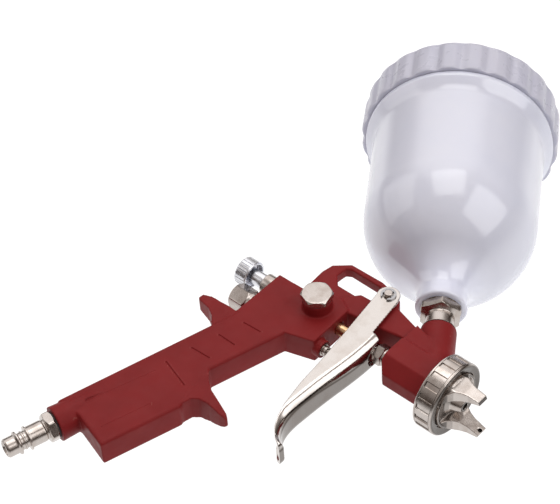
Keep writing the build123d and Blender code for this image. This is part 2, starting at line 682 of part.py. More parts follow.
# Screw lid with soft flutes round its skirt
with BuildPart() as cup_lid:
    with BuildSketch(cup_plan.offset(lid_bottom)):
        Circle(lid_radius)
        with PolarLocations(lid_radius + 1.9, flute_count):
            Circle(3.4, mode=Mode.SUBTRACT)
        fillet(vertices(), 1.2)
    extrude(amount=lid_top - lid_bottom)
    fillet(cup_lid.faces().sort_by(cup_axis)[-1].edges(), 1.4)
    turn([(0, lid_bottom - 1), (50.0, lid_bottom - 1), (50.0, 198.7), (0, 198.7)],
         cup_side, cup_axis, Mode.SUBTRACT)
save(cup_lid, "cup_lid")
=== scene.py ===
"""Looks of the gravity-feed HVLP spray gun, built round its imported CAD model.

Blender units are metres, in the CAD model's own frame: +X is the way the gun sprays, +Y the side
that the cup stands on, +Z the gun's right-hand side. Outlines below are in millimetres.
"""
import json
import math

import bmesh
import bpy
import numpy as np
from mathutils import Matrix, Vector


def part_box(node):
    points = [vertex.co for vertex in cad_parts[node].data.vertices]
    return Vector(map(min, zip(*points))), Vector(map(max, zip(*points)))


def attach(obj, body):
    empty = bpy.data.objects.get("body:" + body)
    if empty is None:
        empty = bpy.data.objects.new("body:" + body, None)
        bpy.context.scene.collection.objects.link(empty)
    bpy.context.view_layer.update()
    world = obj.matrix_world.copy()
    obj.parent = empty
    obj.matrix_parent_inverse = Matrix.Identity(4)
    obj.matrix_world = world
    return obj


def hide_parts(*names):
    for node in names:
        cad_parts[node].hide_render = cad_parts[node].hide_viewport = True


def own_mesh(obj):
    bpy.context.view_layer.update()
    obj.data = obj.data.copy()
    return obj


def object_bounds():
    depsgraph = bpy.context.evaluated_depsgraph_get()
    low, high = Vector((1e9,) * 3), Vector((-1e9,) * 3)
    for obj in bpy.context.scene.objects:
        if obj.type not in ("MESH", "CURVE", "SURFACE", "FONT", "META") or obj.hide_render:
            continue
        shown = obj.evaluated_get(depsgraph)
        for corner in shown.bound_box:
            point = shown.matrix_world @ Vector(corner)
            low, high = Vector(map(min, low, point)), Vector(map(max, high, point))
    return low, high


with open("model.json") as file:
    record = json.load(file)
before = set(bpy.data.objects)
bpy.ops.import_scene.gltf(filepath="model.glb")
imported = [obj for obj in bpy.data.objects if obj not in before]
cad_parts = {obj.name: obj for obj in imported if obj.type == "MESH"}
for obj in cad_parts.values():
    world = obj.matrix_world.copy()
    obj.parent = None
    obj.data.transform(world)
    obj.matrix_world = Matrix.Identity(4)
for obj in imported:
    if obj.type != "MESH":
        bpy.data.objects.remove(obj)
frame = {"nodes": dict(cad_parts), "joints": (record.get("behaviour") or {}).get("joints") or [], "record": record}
cad_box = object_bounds()
low_corner, high_corner = cad_box
MM = 0.001
TURN = 2 * math.pi


# ---- camera --------------------------------------------------------------------------------------
def place_camera():
    """The camera looks down on the gun's right side from in front and from the trigger side."""
    data = bpy.data.cameras.new("camera")
    data.sensor_width = 36.0
    data.lens = 114.05
    data.clip_end = 20.0
    camera = bpy.data.objects.new("camera", data)
    right = Vector((0.740, 0.671, -0.051))
    back = Vector((0.503, -0.501, 0.704)).normalized()
    right = (right - back * right.dot(back)).normalized()
    up = back.cross(right)
    turned_frame = Matrix((right, up, back)).transposed().to_4x4()
    camera.matrix_world = Matrix.Translation((0.3365, -0.4492, 0.6617)) @ turned_frame
    bpy.context.scene.collection.objects.link(camera)
    bpy.context.scene.camera = camera


place_camera()


# ---- material graphs -----------------------------------------------------------------------------
# Each vertex's share of painted shade and painted dark reflection, kept as a mesh attribute.
PAINTED_SHADE = "painted_shade"
TURNING = "turning"


def mixed(nodes, links, share, first, second):
    """A colour between two others, each a tuple or another node's output."""
    node = nodes.new("ShaderNodeMix")
    node.data_type = "RGBA"
    links.new(share, node.inputs["Factor"])
    for socket, color in zip(("A", "B"), (first, second)):
        target = [s for s in node.inputs if s.name == socket and s.type == "RGBA"][0]
        if isinstance(color, tuple):
            target.default_value = (*color, 1.0)
        else:
            links.new(color, target)
    return [s for s in node.outputs if s.type == "RGBA"][0]


class Graph:
    """A procedural material whose patterns are laid out in the object's own coordinates."""

    def __init__(self, name, color, roughness, metallic=0.0, **fixed):
        self.material = bpy.data.materials.new(name)
        self.material.use_nodes = True
        self.nodes = self.material.node_tree.nodes
        self.links = self.material.node_tree.links
        self.shader = self.nodes["Principled BSDF"]
        self.shader.inputs["Base Color"].default_value = (*color, 1.0)
        self.shader.inputs["Roughness"].default_value = roughness
        self.shader.inputs["Metallic"].default_value = metallic
        for socket, value in fixed.items():
            self.shader.inputs[socket.replace("_", " ")].default_value = value
        self.place = self.nodes.new("ShaderNodeTexCoord").outputs["Object"]

    def noise(self, size_mm, detail):
        """A noise whose blotches are about size_mm across."""
        node = self.nodes.new("ShaderNodeTexNoise")
        node.inputs["Scale"].default_value = 1.0 / (size_mm * MM)
        node.inputs["Detail"].default_value = detail
        self.links.new(self.place, node.inputs["Vector"])
        return node.outputs["Fac"]

    def stored(self, name):
        """A value kept at each vertex of the mesh, or 0 where the mesh has none."""
        node = self.nodes.new("ShaderNodeAttribute")
        node.attribute_name = name
        return node.outputs["Fac"]

    def turning(self, pitch_mm):
        """Fine rings left by the lathe, along a turned piece's outline."""
        node = self.nodes.new("ShaderNodeTexNoise")
        node.noise_dimensions = "1D"
        node.inputs["Scale"].default_value = 1.0 / pitch_mm
        node.inputs["Detail"].default_value = 4.0
        self.links.new(self.stored(TURNING), node.inputs["W"])
        return node.outputs["Fac"]

    def edges(self, low, high):
        """1 on sharp convex edges and 0 elsewhere."""
        geometry = self.nodes.new("ShaderNodeNewGeometry")
        return self.spread(geometry.outputs["Pointiness"], 0.0, 1.0, low, high)

    def spread(self, source, low, high, from_low=0.3, from_high=0.7):
        """Source, remapped to run from low to high."""
        node = self.nodes.new("ShaderNodeMapRange")
        node.inputs["From Min"].default_value = from_low
        node.inputs["From Max"].default_value = from_high
        node.inputs["To Min"].default_value = low
        node.inputs["To Max"].default_value = high
        self.links.new(source, node.inputs["Value"])
        return node.outputs["Result"]

    def product(self, first, second):
        """Two values multiplied."""
        node = self.nodes.new("ShaderNodeMath")
        node.operation = "MULTIPLY"
        self.links.new(first, node.inputs[0])
        self.links.new(second, node.inputs[1])
        return node.outputs["Value"]

    def between(self, share, first, second):
        """A colour between two others, each a tuple or another node's output."""
        return mixed(self.nodes, self.links, share, first, second)

    def drive(self, socket, source):
        """A pattern that feeds one of the shader's sockets."""
        self.links.new(source, self.shader.inputs[socket])

    def bump(self, source, height_mm, strength=1.0):
        """Relief of that height, on top of any relief given before."""
        node = self.nodes.new("ShaderNodeBump")
        node.inputs["Distance"].default_value = height_mm * MM
        node.inputs["Strength"].default_value = strength
        self.links.new(source, node.inputs["Height"])
        normal = self.shader.inputs["Normal"]
        if normal.is_linked:
            self.links.new(normal.links[0].from_socket, node.inputs["Normal"])
        self.links.new(node.outputs["Normal"], normal)


def body_paint():
    """Satin burgundy paint over a casting, a little rubbed on the sharpest edges."""
    g = Graph("body_paint", (0.20, 0.022, 0.019), 0.5, Specular_IOR_Level=0.16)
    tone = g.between(g.spread(g.noise(14, 4), 0, 1), (0.192, 0.0105, 0.0115), (0.220, 0.013, 0.014))
    worn = g.product(g.edges(0.535, 0.60), g.spread(g.noise(3.0, 6), 0, 0.5))
    g.drive("Base Color", g.between(worn, tone, (0.36, 0.12, 0.10)))
    g.drive("Roughness", g.spread(g.noise(5, 5), 0.42, 0.56))
    g.bump(g.noise(2.2, 3), 0.05, 0.5)
    g.bump(g.noise(0.45, 2), 0.03, 0.55)
    return g.material


def plated(name, color, dark, roughness, stain_mm=6.0, rings_mm=0.0, painted_shade_color=None):
    """Plated or bare metal, with faint stains, handling marks and, on turned pieces, lathe rings.

    The last argument is the colour of the painted shade and painted dark reflections that go where a mesh has been
    marked for them.
    """
    g = Graph(name, color, roughness, 1.0)
    stains = g.spread(g.noise(stain_mm, 5), 0, 1, 0.45, 0.75)
    worn = g.between(stains, color, dark)
    g.drive("Base Color", worn)
    g.drive("Roughness", g.spread(g.noise(2.4, 4), roughness * 0.8, roughness * 1.3))
    g.bump(g.noise(3.0, 2), 0.012, 0.5)
    if rings_mm:
        g.bump(g.turning(rings_mm), 0.005, 0.5)
    # Painted shade and painted dark reflections darken the colour where a mesh is marked.
    if painted_shade_color:
        g.drive("Base Color", g.between(g.stored(PAINTED_SHADE), worn, painted_shade_color))
    return g.material


def milky(name, color, deep, roughness, scatter_mm, gloss):
    """Moulded polyethylene that light passes into."""
    g = Graph(name, color, roughness, Subsurface_Weight=0.35, IOR=1.5, Specular_IOR_Level=gloss,
              Subsurface_Scale=MM, Subsurface_Radius=(scatter_mm, scatter_mm, scatter_mm))
    g.drive("Base Color", g.between(g.spread(g.noise(24, 3), 0, 1), color, deep))
    g.drive("Roughness", g.spread(g.noise(7, 4), roughness * 0.8, roughness * 1.25))
    g.bump(g.noise(16, 2), 0.12, 0.4)
    g.bump(g.noise(0.7, 2), 0.006, 0.4)
    return g.material


def soft_matter(name, color, roughness):
    """Rubber, PTFE or a plain moulding, with a dull mottled surface."""
    g = Graph(name, color, roughness)
    lighter = tuple(min(1.0, c * 1.25 + 0.01) for c in color)
    g.drive("Base Color", g.between(g.spread(g.noise(3, 5), 0, 1), color, lighter))
    g.bump(g.noise(0.5, 3), 0.02, 0.6)
    return g.material


materials = {
    "body_paint": body_paint(),
    # The last colour of nickel and of trigger_chrome is for painted shade and painted dark reflections.
    "nickel": plated("nickel", (0.52, 0.475, 0.445), (0.41, 0.355, 0.32), 0.22, rings_mm=0.5,
                     painted_shade_color=(0.02, 0.017, 0.015)),
    "trigger_chrome": plated("trigger_chrome", (0.62, 0.585, 0.56), (0.55, 0.50, 0.465), 0.12, 9.0,
                             painted_shade_color=(0.045, 0.032, 0.024)),
    "knob_alloy": plated("knob_alloy", (0.74, 0.75, 0.79), (0.60, 0.61, 0.64), 0.26, rings_mm=0.4),
    "brass": plated("brass", (0.80, 0.52, 0.31), (0.55, 0.32, 0.16), 0.26, rings_mm=0.4),
    "steel": plated("steel", (0.50, 0.48, 0.47), (0.38, 0.36, 0.34), 0.24, rings_mm=0.5),
    "spring_steel": plated("spring_steel", (0.40, 0.40, 0.41), (0.28, 0.27, 0.26), 0.3),
    "cup_plastic": milky("cup_plastic", (0.74, 0.765, 0.92), (0.77, 0.79, 0.93), 0.13, 9.0, 1.0),
    "lid_plastic": milky("lid_plastic", (0.54, 0.545, 0.645), (0.565, 0.565, 0.655), 0.30, 3.0, 0.5),
    "lid_liner": soft_matter("lid_liner", (0.66, 0.60, 0.53), 0.6),
    "seal": soft_matter("seal", (0.03, 0.03, 0.03), 0.7),
    "ptfe": soft_matter("ptfe", (0.82, 0.80, 0.76), 0.5),
    "strainer": soft_matter("strainer", (0.80, 0.80, 0.75), 0.5),
}


# ---- places taken from the CAD frame -------------------------------------------------------------
joints = {joint["name"]: joint for joint in frame["joints"]}
slots = {}
for part in frame["record"]["subparts"]:
    slots[part["node"]] = part["material_slot"]


def axis_place(origin, direction, side):
    """A matrix whose local Z runs along an axis and whose local X points to one side."""
    direction = Vector(direction).normalized()
    side = Vector(side)
    side = (side - direction * side.dot(direction)).normalized()
    turned_frame = Matrix((side, direction.cross(side), direction)).transposed().to_4x4()
    return Matrix.Translation(Vector(origin)) @ turned_frame


def middle(node):
    """The middle of a CAD node's box."""
    low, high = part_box(node)
    return (low + high) / 2


def points_mm(mesh):
    """A mesh's vertices in millimetres."""
    return np.array([v.co for v in mesh.vertices], float) / MM


def reach(node, place):
    """(lowest station, highest station, largest radius) of a CAD node about an axis, in mm."""
    back = np.array(place.inverted())
    points = points_mm(frame["nodes"][node].data) @ back[:3, :3].T + back[:3, 3] / MM
    radius = np.hypot(points[:, 0], points[:, 1])
    return float(points[:, 2].min()), float(points[:, 2].max()), float(radius.max())


spray = axis_place((0, 0, 0), (1, 0, 0), (0, 1, 0))
valve = axis_place((0, middle("air_valve").y, 0), (1, 0, 0), (0, 1, 0))
plug = axis_place((*middle("side_plug").xy, 0), (0, 0, 1), (1, 0, 0))


def cup_place():
    """The cup's axis, with its stations counted from where it crosses the spray axis."""
    joint = joints["cup_turn"]
    point = Vector(joint["pos_m"])
    direction = Vector(joint["axis"])
    return axis_place(point - direction * (point.y / direction.y), direction, (1, 0, 0))


def inlet_place():
    """The air inlet's axis, with its stations counted from the boss's end face."""
    tip_to_boss = 24.5 * MM
    mount = [m for m in frame["record"]["mounts"] if m["name"] == "air_inlet_plug"][0]
    direction = Vector(mount["axis"])
    return axis_place(Vector(mount["pos_m"]) - direction * tip_to_boss, direction, (1, 0, 0))


cup_axis = cup_place()
inlet = inlet_place()


# ---- mesh makers ---------------------------------------------------------------------------------
def add_piece(name, mesh, node, body):
    """A finished mesh that rides on a CAD body and stands for a CAD node."""
    piece = bpy.data.objects.new(name, mesh)
    bpy.context.scene.collection.objects.link(piece)
    mesh.materials.append(materials[slots[node]])
    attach(piece, body)
    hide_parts(node)
    return piece


def smooth(mesh):
    """Smooth shading all over."""
    mesh.polygons.foreach_set("use_smooth", [True] * len(mesh.polygons))


def shade(mesh, angle=32):
    """Smooth shading that keeps edges sharper than an angle."""
    smooth(mesh)
    mesh.set_sharp_from_angle(angle=math.radians(angle))


def softened(outline, rounding, closed, step):
    """An outline with its corners rounded and, where a step is given, its long runs divided."""
    count = len(outline)
    points = [Vector(point[:2]) for point in outline]
    path = []
    for i, (point, entry) in enumerate(zip(points, outline)):
        if not closed and i in (0, count - 1):
            path.append(point)
            continue
        before = points[i - 1] - point
        after = points[(i + 1) % count] - point
        size = entry[2] if len(entry) > 2 else rounding
        size = min(size, 0.45 * before.length, 0.45 * after.length)
        if size <= 0:
            path.append(point)
            continue
        start = point + before.normalized() * size
        end = point + after.normalized() * size
        for share in (0, 0.25, 0.5, 0.75, 1):
            path.append(start * (1 - share) ** 2 + point * 2 * share * (1 - share) + end * share**2)
    if not step:
        return path
    fine = []
    pairs = zip(path, path[1:] + path[:1]) if closed else zip(path, path[1:])
    for first, second in pairs:
        runs = max(1, math.ceil((second - first).length / step))
        fine += [first.lerp(second, k / runs) for k in range(runs)]
    return fine if closed else fine + [path[-1]]


def turned(name, place, outline, rounding=0.35, closed=False, shape=None, segments=96, step=None,
           sharp=32):
    """A mesh turned about an axis from (station, radius) points in mm.

    shape(angle, station, radius) may change the radius, as for flats, flutes and knurls.
    """
    path = softened(outline, rounding, closed, step)
    station = np.array([p[0] for p in path])[:, None]
    radius = np.array([p[1] for p in path])[:, None] * np.ones((1, segments))
    angle = (np.arange(segments) * TURN / segments)[None, :]
    if shape:
        radius = shape(angle, station, radius)
    local = np.stack([radius * np.cos(angle), radius * np.sin(angle), station + 0 * radius], -1)
    matrix = np.array(place)
    world = local.reshape(-1, 3) * MM @ matrix[:3, :3].T + matrix[:3, 3]
    rings = len(path)
    faces = []
    for i in range(rings if closed else rings - 1):
        j = (i + 1) % rings
        for k in range(segments):
            m = (k + 1) % segments
            faces.append((i * segments + k, i * segments + m, j * segments + m, j * segments + k))
    mesh = bpy.data.meshes.new(name)
    mesh.from_pydata(world.tolist(), [], faces)
    runs = [0.0] + [(b - a).length for a, b in zip(path, path[1:])]
    along = np.repeat(np.cumsum(runs), segments).astype(np.float32)
    mesh.attributes.new(TURNING, "FLOAT", "POINT").data.foreach_set("value", along)
    form = bmesh.new()
    form.from_mesh(mesh)
    bmesh.ops.remove_doubles(form, verts=form.verts, dist=1e-7)
    bmesh.ops.recalc_face_normals(form, faces=form.faces)
    form.to_mesh(mesh)
    form.free()
    shade(mesh, sharp)
    return mesh


def remeshed(node, voxel_mm, passes):
    """A copy of a CAD node as an even, softened mesh, as a casting or a pressing is."""
    source = frame["nodes"][node]
    copy = bpy.data.objects.new(node + "_copy", source.data.copy())
    bpy.context.scene.collection.objects.link(copy)
    form = bmesh.new()
    form.from_mesh(copy.data)
    bmesh.ops.remove_doubles(form, verts=form.verts, dist=1e-6)
    form.to_mesh(copy.data)
    form.free()
    even = copy.modifiers.new("even", "REMESH")
    even.mode = "VOXEL"
    even.voxel_size = voxel_mm * MM
    even.use_smooth_shade = True
    smooth = copy.modifiers.new("smooth", "SMOOTH")
    smooth.factor = 0.5
    smooth.iterations = passes
    bpy.context.view_layer.update()
    done = copy.evaluated_get(bpy.context.evaluated_depsgraph_get())
    mesh = bpy.data.meshes.new_from_object(done)
    bpy.data.objects.remove(copy)
    mesh.materials.clear()
    return mesh


def mark_painted_shade(mesh, amount):
    """Store how much painted shade or painted dark reflection the metal takes at each vertex, from 0 to 1."""
    layer = mesh.attributes.new(PAINTED_SHADE, "FLOAT", "POINT")
    layer.data.foreach_set("value", np.asarray(amount, np.float32))


def eased(value):
    """0 below 0, 1 above 1 and smooth between."""
    value = np.clip(value, 0, 1)
    return value * value * (3 - 2 * value)


def flats(across, low, high, phase=0.0, softness=70):
    """A shape that trims a turned piece to a hexagon across its flats between two stations."""
    def shape(angle, station, radius):
        total = 0
        for k in range(6):
            facing = np.maximum(0, np.cos(angle - math.radians(phase) - k * TURN / 6))
            total = total + (facing * 2 / across) ** softness
        inside = (station >= low) & (station <= high)
        return np.where(inside, np.minimum(radius, total ** (-1 / softness)), radius)
    return shape


def hollows(count, share, depth, low, high, outside, ease=0.5, sharp=0.25):
    """A shape with pockets sunk between two stations into the outside of a turned piece."""
    edge = math.cos(math.pi * share)

    def shape(angle, station, radius):
        across = eased((np.cos(angle * count) - edge) / sharp)
        along = eased((station - low) / ease) * eased((high - station) / ease)
        return radius - depth * across * along * (radius > outside)
    return shape


# ---- gun body ------------------------------------------------------------------------------------
GRIP_FACE = 7.5
GRIP_GROOVES = [((-111.0, -32.6), (-100.6, -32.0)), ((-115.1, -46.6), (-104.7, -46.7)),
                ((-119.5, -61.6), (-108.3, -61.0)), ((-122.9, -76.5), (-105.5, -81.6))]
PANEL_LINES = [((-134.8, -119.2), (-123.0, -84.2)), ((-117.7, -126.2), (-109.7, -100.8))]
CUT_MARGIN = 0.7
DISH_RADIUS, DISH_DEPTH, DISH_FROM_PLUG = 8.0, 0.7, Vector((-9.5, -5.0))


def from_line(points, start, end):
    """Distance in mm from each (x, y) point to a straight line between two ends."""
    start, end = np.array(start), np.array(end)
    run = end - start
    share = np.clip(((points - start) @ run) / (run @ run), 0, 1)
    return np.hypot(*(points - start - share[:, None] * run).T)


def engrave(mesh, lines, depth, half_width, cuts):
    """Cut fine grooves along straight lines into both flat sides of the grip."""
    form = bmesh.new()
    form.from_mesh(mesh)
    form.faces.ensure_lookup_table()
    centres = np.array([f.calc_center_median() for f in form.faces]) / MM
    near = np.zeros(len(centres), bool)
    for start, end in lines:
        near |= from_line(centres[:, :2], start, end) < half_width + CUT_MARGIN
    near &= np.abs(centres[:, 2]) > GRIP_FACE - 1.0
    edges = {edge for k in np.flatnonzero(near) for edge in form.faces[k].edges}
    bmesh.ops.subdivide_edges(form, edges=list(edges), cuts=cuts, use_grid_fill=True)
    places = np.array([v.co for v in form.verts]) / MM
    gaps = np.min([from_line(places[:, :2], start, end) for start, end in lines], axis=0)
    form.verts.ensure_lookup_table()
    on_faces = np.abs(places[:, 2]) >= GRIP_FACE - 1.0
    for k in np.flatnonzero(on_faces & (gaps < half_width + CUT_MARGIN)):
        sunk = depth * (1 - eased((gaps[k] - 0.4 * half_width) / (0.8 * half_width)))
        form.verts[k].co.z = math.copysign((GRIP_FACE - sunk) * MM, places[k, 2])
    form.to_mesh(mesh)
    form.free()


def gun_body():
    """The casting, softened all over, with its grooves cut afterwards so that they stay crisp.

    A shallow dish is pressed into the right side next to the plug.
    """
    mesh = remeshed("gun_body", 0.4, 6)
    engrave(mesh, GRIP_GROOVES, 0.5, 0.4, 3)
    engrave(mesh, PANEL_LINES, 0.12, 0.25, 3)
    place = points_mm(mesh)
    away = np.hypot(*(place[:, :2] - np.array(middle("side_plug").xy / MM + DISH_FROM_PLUG)).T)
    on_face = (place[:, 2] > GRIP_FACE - 1.0) & (place[:, 2] < GRIP_FACE + 0.2)
    for k in np.flatnonzero(on_face & (away < DISH_RADIUS)):
        mesh.vertices[k].co.z -= DISH_DEPTH * MM * float(eased(1 - away[k] / DISH_RADIUS))
    smooth(mesh)
    return add_piece("body_casting", mesh, "gun_body", "gun")


def trigger():
    """The pressed trigger, with a painted dark reflection down its front: a wavy band, and a duller face beyond
    it.
    """
    mesh = remeshed("trigger", 0.3, 5)
    facing = np.array([v.normal.x for v in mesh.vertices])
    _, along, across = points_mm(mesh).T
    # Painted dark reflection on faces that look forward: a dark wavy band and a duller stretch beyond it.
    wave = np.sin(along / 11)
    band = 0.92 * np.exp(-((across - 4.6 - 1.3 * wave) / 1.7) ** 2)
    rest = 0.66 * eased((6.2 - across + 1.6 * wave) / 2.5)
    mark_painted_shade(mesh, np.maximum(band, rest) * eased((facing - 0.2) / 0.3))
    smooth(mesh)
    return add_piece("trigger_pressing", mesh, "trigger", "trigger")


# ---- spray head ----------------------------------------------------------------------------------
# Darkness of the painted reflection on faces that look along the spray.
FRONT_PAINTED_REFLECTION = 0.78
HORN_HOLE = (13.9, 10.6)
HORN_HOLE_RADIUS = 1.1


def facing_front(mesh):
    """How squarely each vertex faces along the spray, from 0 to 1."""
    return eased((np.array([v.normal.x for v in mesh.vertices]) - 0.6) / 0.35)


def air_cap():
    """The air cap and its horns, with painted shade where the horns' holes are and a painted dark reflection on
    faces that look along the spray.
    """
    mesh = remeshed("air_cap", 0.22, 9)
    ahead, up, aside = points_mm(mesh).T
    # Painted shade stands in for the horns' holes; faces that look along the spray take a painted dark reflection.
    from_hole = np.hypot(np.abs(ahead) - HORN_HOLE[0], np.abs(aside) - HORN_HOLE[1])
    dark = np.hypot(from_hole, up) < HORN_HOLE_RADIUS
    mark_painted_shade(mesh, np.maximum(dark, FRONT_PAINTED_REFLECTION * facing_front(mesh)))
    smooth(mesh)
    return add_piece("horned_cap", mesh, "air_cap", "air_cap")


def cap_ring():
    """The ring that holds the cap: a plain rim, a band of pockets and a rolled front edge."""
    low, high, outer = reach("air_cap_ring", spray)
    outline = [
        (low, outer - 2.6), (low, outer - 0.7), (low + 0.6, outer - 0.1, 0.15),
        (low + 1.3, outer - 0.1, 0.15), (low + 1.4, outer - 0.3, 0.1), (low + 1.6, outer - 0.05, 0.1),
        (high - 1.6, outer - 0.05, 0.1), (high - 1.45, outer - 0.35, 0.1),
        (high - 1.3, outer - 0.1, 0.1), (high - 0.6, outer - 0.2, 0.4), (high, outer - 0.9, 0.4),
        (high, outer - 1.6, 0.3), (high - 0.5, outer - 4.3), (high - 1.5, outer - 4.7),
        (high - 1.5, outer - 2.6),
    ]
    pockets = hollows(20, 0.48, 0.75, low + 1.6, high - 1.7, outer - 1.2, 0.25, 0.2)
    mesh = turned("pocketed_ring", spray, outline, 0.2, True, pockets, segments=720, step=0.25)
    # Painted dark reflection on faces that look along the spray.
    mark_painted_shade(mesh, FRONT_PAINTED_REFLECTION * facing_front(mesh))
    return add_piece("pocketed_ring", mesh, "air_cap_ring", "air_cap_ring")


def packing_nut():
    """The packing nut: gland tube, hexagon and collar."""
    low, high, _ = reach("packing_nut", spray)
    rear, front, collar = low + 5.8, high - 7.8, high - 3.95
    outline = [
        (low, 1.45), (low, 2.5), (rear, 2.5, 0.2), (rear, 4.6, 0.1), (rear + 0.7, 5.75, 0.1),
        (front - 0.7, 5.75, 0.1), (front, 4.6, 0.1), (collar, 4.6, 0.3), (collar, 3.9, 0.1), (high, 3.9),
        (high, 1.45),
    ]
    hexagon = flats(10.0, rear - 0.1, front)
    mesh = turned("packing_gland", spray, outline, 0.25, True, hexagon, 120, 0.3)
    return add_piece("packing_gland", mesh, "packing_nut", "gun")


def needle_sleeve():
    """The brass sleeve that carries the fluid needle through the block."""
    low, high, outer = reach("needle_sleeve", spray)
    outline = [
        (low, 1.5), (low, outer), (low + 1.8, outer), (low + 1.8, 3.2), (high - 1.0, 3.2, 0.3),
        (high, 2.5, 0.2), (high, 1.5),
    ]
    mesh = turned("brass_sleeve", spray, outline, 0.2, True, segments=64)
    return add_piece("brass_sleeve", mesh, "needle_sleeve", "needle")


# ---- rear controls -------------------------------------------------------------------------------
def fluid_knob():
    """The fluid knob: a knurled cap, hollow towards the gun, on a plain stem."""
    low, high, outer = reach("fluid_knob", spray)
    front = low + 8.0
    outline = [
        (low + 0.5, 0), (low + 0.5, outer - 2.6, 0.3), (low, outer - 2.0, 0.3), (low, outer - 0.9, 0.3),
        (low + 0.8, outer, 0.3), (front - 0.6, outer, 0.3), (front, outer - 0.5, 0.2),
        (front, outer - 1.3), (low + 3.6, outer - 1.6, 0.8), (low + 3.6, 4.1, 0.8),
        (low + 15.6, 4.1, 0.4), (low + 16.1, 3.2), (high - 0.6, 3.2), (high, 2.8), (high, 0),
    ]
    knurl = hollows(28, 0.30, 0.55, low + 0.4, front - 0.2, outer - 1.0, 0.4, 0.6)
    mesh = turned("knurled_knob", spray, outline, 0.25, False, knurl, segments=336, step=0.6)
    return add_piece("knurled_knob", mesh, "fluid_knob", "fluid_knob")


def knob_guide():
    """The bush that the knob's stem runs in."""
    low, high, outer = reach("knob_guide", spray)
    face = high - 2.85
    outline = [(low, 3.35), (low, outer), (face, outer), (face, 4.9), (high, 4.9), (high, 3.35)]
    mesh = turned("stem_bush", spray, outline, 0.5, True, segments=72)
    return add_piece("stem_bush", mesh, "knob_guide", "gun")


def valve_cap():
    """The hexagonal cap behind the air valve."""
    low, high, _ = reach("air_valve_cap", valve)
    face = low + 10.8
    outline = [
        (low + 0.3, 0), (low, 4.0, 0.6), (low, 5.6, 0.4), (low + 1.3, 7.45, 0.2),
        (face - 1.0, 7.45, 0.2), (face, 6.2, 0.2), (low + 12.7, 6.2), (low + 12.7, 5.4), (high, 5.4),
        (high, 0),
    ]
    hexagon = flats(13.0, low, face - 0.05)
    mesh = turned("hexagon_cap", valve, outline, 0.3, False, hexagon, 120, 0.4)
    return add_piece("hexagon_cap", mesh, "air_valve_cap", "gun")


def side_plug():
    """The hexagonal plug on the block's right side."""
    low, high, _ = reach("side_plug", plug)
    seat = high - 3.45
    outline = [
        (low, 0), (low, 4.9), (seat, 4.9), (seat, 7.6, 0.1), (seat + 0.5, 8.45, 0.1),
        (high - 0.9, 8.6, 0.2), (high - 0.1, 7.6, 0.3), (high, 6.6, 0.6), (high + 0.12, 0),
    ]
    hexagon = flats(15.0, seat, high + 1, 10)
    mesh = turned("hexagon_plug", plug, outline, 0.2, False, hexagon, 120, 0.35)
    return add_piece("hexagon_plug", mesh, "side_plug", "gun")


# ---- air inlet -----------------------------------------------------------------------------------
def inlet_nipple():
    """The quick-connect nipple: hexagon, body, stop ring, groove, rib and tip."""
    low, high, _ = reach("inlet_nipple", inlet)
    outline = [
        (low, 3.0), (low, 5.5), (0.9, 5.5), (0.9, 7.2, 0.1), (1.6, 7.95, 0.15), (4.4, 7.95, 0.15),
        (5.3, 6.6, 0.2), (5.35, 5.2, 0.1), (6.1, 5.0, 0.4), (6.8, 5.5, 0.3), (14.6, 5.5, 0.2),
        (14.7, 6.3, 0.1), (15.3, 6.3, 0.1), (15.6, 4.4, 0.3), (16.9, 4.4, 0.1), (17.2, 4.8, 0.1),
        (17.8, 4.8, 0.1), (18.1, 4.4, 0.1), (19.4, 4.4, 0.3), (20.0, 6.0, 0.3), (20.8, 6.0, 0.3),
        (21.5, 4.9, 0.4), (high - 1.0, 4.9, 0.3), (high - 0.1, 4.2, 0.2), (high, 3.5, 0.2),
        (high - 1.2, 3.0, 0.2),
    ]
    hexagon = flats(14.0, 0.8, 5.32, 30)
    mesh = turned("plug_nipple", inlet, outline, 0.25, True, hexagon, 120, 0.35)
    return add_piece("plug_nipple", mesh, "inlet_nipple", "gun")


# ---- cup -----------------------------------------------------------------------------------------
def cup_adapter():
    """The nickel adapter between socket and cup."""
    low, high, _ = reach("cup_adapter", cup_axis)
    seat, under, over = 36.7, 46.0, 51.2
    outline = [
        (low, 3.2), (low, 5.6), (seat, 5.6), (seat, 9.0, 0.1), (seat + 0.3, 9.0, 0.1),
        (seat + 0.5, 7.6, 0.3), (under - 0.8, 7.6, 0.5),
        (under, 9.4, 0.2), (under + 0.5, 10.6, 0.2), (under + 1.1, 11.5, 0.1), (over - 0.6, 11.5, 0.1),
        (over, 10.6, 0.1), (over, 7.8, 0.1), (high, 7.8), (high, 3.2),
    ]
    hexagon = flats(20.0, under - 0.2, over, 4)
    mesh = turned("hexagon_adapter", cup_axis, outline, 0.3, True, hexagon, 120, 0.35)
    return add_piece("hexagon_adapter", mesh, "cup_adapter", "cup")


def arc(centre, radius, start, end, count):
    """Outline points on a circle about a station of the axis, between two angles from the axis."""
    angles = [math.radians(start + (end - start) * k / (count - 1)) for k in range(count)]
    return [(centre - radius * math.cos(a), radius * math.sin(a), 0) for a in angles]


def curve(start, control, end, count):
    """Outline points on a smooth curve that leaves start, and reaches end, towards control."""
    shares = [k / (count - 1) for k in range(count)]
    return [tuple(a * (1 - t) ** 2 + b * 2 * t * (1 - t) + c * t**2
                  for a, b, c in zip(start, control, end)) + (0,) for t in shares]


